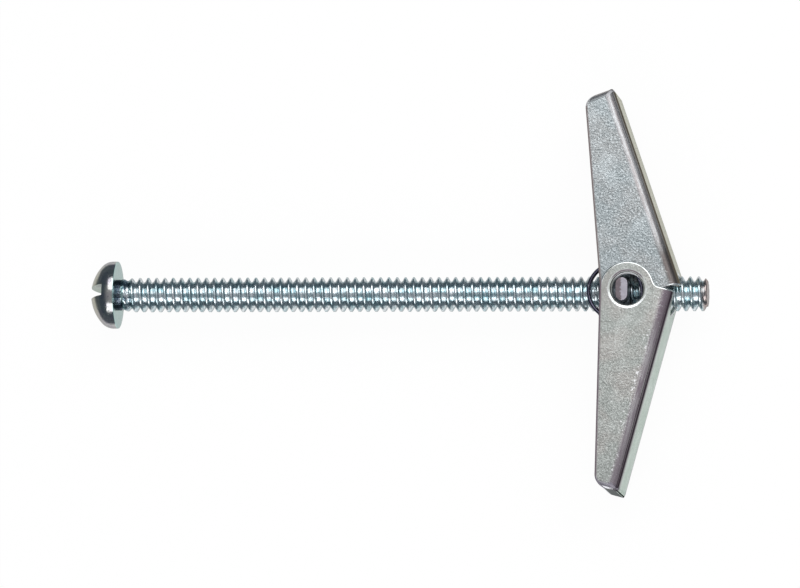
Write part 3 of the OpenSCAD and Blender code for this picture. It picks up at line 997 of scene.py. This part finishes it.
def wireTree():
    tree, given, output = geometryTree("wireTree", [
        ("Path", "NodeSocketGeometry"), ("Wire Radius", "NodeSocketFloat"), ("Sides", "NodeSocketInt"),
        ("Material", "NodeSocketMaterial")])
    path = addNode(tree, "GeometryNodeMeshToCurve", {"Mesh": given.outputs["Path"]})
    section = addNode(tree, "GeometryNodeCurvePrimitiveCircle", {
        "Resolution": given.outputs["Sides"], "Radius": given.outputs["Wire Radius"]})
    tube = addNode(tree, "GeometryNodeCurveToMesh", {
        "Curve": path.outputs[0], "Profile Curve": section.outputs[0], "Fill Caps": True})
    closeTree(tree, tube.outputs[0], given.outputs["Material"], output)
    return tree


def wirePiece(name, lines, tree):
    verts, wires = [], []
    for line in lines:
        wires += [(len(verts) + i, len(verts) + i + 1) for i in range(len(line) - 1)]
        verts += line
    mesh = bpy.data.meshes.new(name + "Path")
    mesh.from_pydata(verts, wires, [])
    return outwards(grow(name, mesh, tree, {
        "Wire Radius": spring["wireRadius"], "Sides": spring["wireSides"], "Material": springWire}))


coilLine, loopLine, legLine = springLines()
wires = wireTree()
springCoils = wirePiece("springCoils", [coilLine, mirrored(coilLine)], wires)
springLoop = wirePiece("springLoop", [loopLine], wires)
springLegs = wirePiece("springLegs", [legLine, mirrored(legLine)], wires)
print("spring made")


# what moves with what, and what each piece stands in for
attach(screwHead, "screw")
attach(screwThread, "screw")
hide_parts("bolt")
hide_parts("bolt")
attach(trunnionNut, "nut")
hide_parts("trunnion_nut")
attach(upperWing, "wing_upper")
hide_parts("upper_wing")
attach(lowerWing, "wing_lower")
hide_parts("lower_wing")
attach(springCoils, "nut")
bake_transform(springLoop)
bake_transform(springLegs)
for piece in (springCoils, springLoop, springLegs):
    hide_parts("spring")
for node, material in (("bolt", screwZinc), ("trunnion_nut", nutZinc), ("upper_wing", upperWingZinc),
                       ("lower_wing", lowerWingZinc), ("spring", springWire)):
    frame["nodes"][node].material_slots[0].material = material
print("pieces ride on their bodies")


studio = {
    "floorSize": 3.0,
    "floorColour": (0.85, 0.85, 0.85, 1),
    "floorGlow": 0.95,  # share of the floor that shows as plain white
    "grazing": (0.32, 0.54),  # where the floor's mirror image turns dark towards the horizon
    "horizon": (0.065, 0.09, 0.11, 1),  # what polished metal sees low down
    "overhead": (0.40, 0.40, 0.42, 1),  # and towards skyAxis
    "skyAxis": (0.42, 0, 0.91),
    "skyFrom": 0.3,
    "skyTo": 1.0,
    "worldLight": 0.6,
    "floorRoughness": 0.9,
}
# angle: from straight overhead towards the upper wing; along: the lamp's middle, along the bolt
lamps = {
    "keyLight": {"angle": 33.5, "along": 0.21, "length": 0.64, "width": 0.385, "glow": 2.2},
    "fillLight": {"angle": -50, "along": 0.04, "length": 0.5, "width": 0.27, "glow": 2.3},
}
lampDistance = 0.5


def seenBy(tree, *rays):
    light = addNode(tree, "ShaderNodeLightPath").outputs
    return strongest(tree, *(light[ray] for ray in rays))


def makeFloor():
    low = min(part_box(n)[0].z for n in frame["nodes"])
    mesh = bpy.data.meshes.new("floor")
    s = studio["floorSize"]
    mesh.from_pydata([(-s, -s, low), (s, -s, low), (s, s, low), (-s, s, low)], [], [(0, 1, 2, 3)])
    floor = looseObject("floor", mesh)
    material = bpy.data.materials.new("paleFloor")
    material.use_nodes = True
    tree = material.node_tree
    shader = tree.nodes["Principled BSDF"]
    shader.inputs["Base Color"].default_value = studio["floorColour"]
    shader.inputs["Roughness"].default_value = studio["floorRoughness"]
    shader.inputs["Specular IOR Level"].default_value = 0.0
    slant = addNode(tree, "ShaderNodeLayerWeight", {"Blend": 0.5}).outputs["Facing"]
    dark = product(tree, rescale(tree, slant, *studio["grazing"], smooth=True), seenBy(tree, "Is Glossy Ray"))
    shade = blendColours(tree, dark, (1, 1, 1, 1), studio["horizon"])
    white = addNode(tree, "ShaderNodeEmission", {"Color": shade, "Strength": 1.0})
    seen = seenBy(tree, "Is Camera Ray", "Is Glossy Ray", "Is Transmission Ray")
    glow = product(tree, seen, studio["floorGlow"])
    mixed = addNode(tree, "ShaderNodeMixShader", {0: glow, 1: shader.outputs[0], 2: white.outputs[0]})
    tree.links.new(mixed.outputs[0], tree.nodes["Material Output"].inputs["Surface"])
    mesh.materials.append(material)


def makeWorld():
    world = bpy.data.worlds.new("studioWorld")
    world.use_nodes = True
    bpy.context.scene.world = world
    tree = world.node_tree
    soft = tree.nodes["Background"]
    direction = addNode(tree, "ShaderNodeTexCoord").outputs["Generated"]
    rise = vectorMath(tree, "DOT_PRODUCT", direction, studio["skyAxis"], output="Value")
    sky = blendColours(tree, rescale(tree, rise, studio["skyFrom"], studio["skyTo"], smooth=True),
                       studio["horizon"], studio["overhead"])
    even = (studio["worldLight"],) * 3 + (1,)
    feed(tree, soft.inputs["Color"], blendColours(tree, seenBy(tree, "Is Glossy Ray"), even, sky))
    white = addNode(tree, "ShaderNodeBackground", {"Color": (1, 1, 1, 1), "Strength": 1.0})
    mixed = addNode(tree, "ShaderNodeMixShader", {
        0: seenBy(tree, "Is Camera Ray", "Is Transmission Ray"), 1: soft.outputs[0], 2: white.outputs[0]})
    tree.links.new(mixed.outputs[0], tree.nodes["World Output"].inputs["Surface"])


def makeLamp(name, angle, along, length, width, glow):
    data = bpy.data.lights.new(name, "AREA")
    data.shape = "RECTANGLE"
    data.size, data.size_y = length, width
    data.energy = glow * math.pi * length * width
    lamp = looseObject(name, data)
    lean = math.radians(angle)
    lamp.location = (along, lampDistance * math.sin(lean), lampDistance * math.cos(lean))
    lamp.rotation_euler = (-lean, 0, 0)


view = {
    "target": (0.036, 0.0, 0.0),
    "azimuth": math.radians(8.2),
    "elevation": math.radians(7.3),
    "roll": math.radians(0.13),
    "distance": 1.0,
    "frameWidth": 100.7556675 * mm,  # what the frame spans at the target
    "sensor": 36.0,
    "rise": 0.000625,  # the lens's shift, in frame widths
    "clip": (0.01, 20),
}


def makeCamera():
    # back, up and right are the camera's own axes, turned by the roll
    back = Vector((math.sin(view["azimuth"]), -math.sin(view["elevation"]), 0))
    back.z = math.sqrt(1 - back.length_squared)
    up = back.cross(Vector((1, 0, 0))).normalized()
    right = up.cross(back)
    c, s = math.cos(view["roll"]), math.sin(view["roll"])
    right, up = c * right - s * up, s * right + c * up
    data = bpy.data.cameras.new("camera")
    data.sensor_width = view["sensor"]
    data.lens = view["sensor"] * view["distance"] / view["frameWidth"]
    data.shift_y = view["rise"]
    data.clip_start, data.clip_end = view["clip"]
    camera = looseObject("camera", data)
    turn = Matrix((right, up, back)).transposed().to_4x4()
    camera.matrix_world = Matrix.Translation(Vector(view["target"]) + view["distance"] * back) @ turn
    bpy.context.scene.camera = camera


makeFloor()
makeWorld()
for lampName, sizes in lamps.items():
    makeLamp(lampName, **sizes)
makeCamera()
bpy.context.scene.view_settings.view_transform = "Standard"
print("studio made")
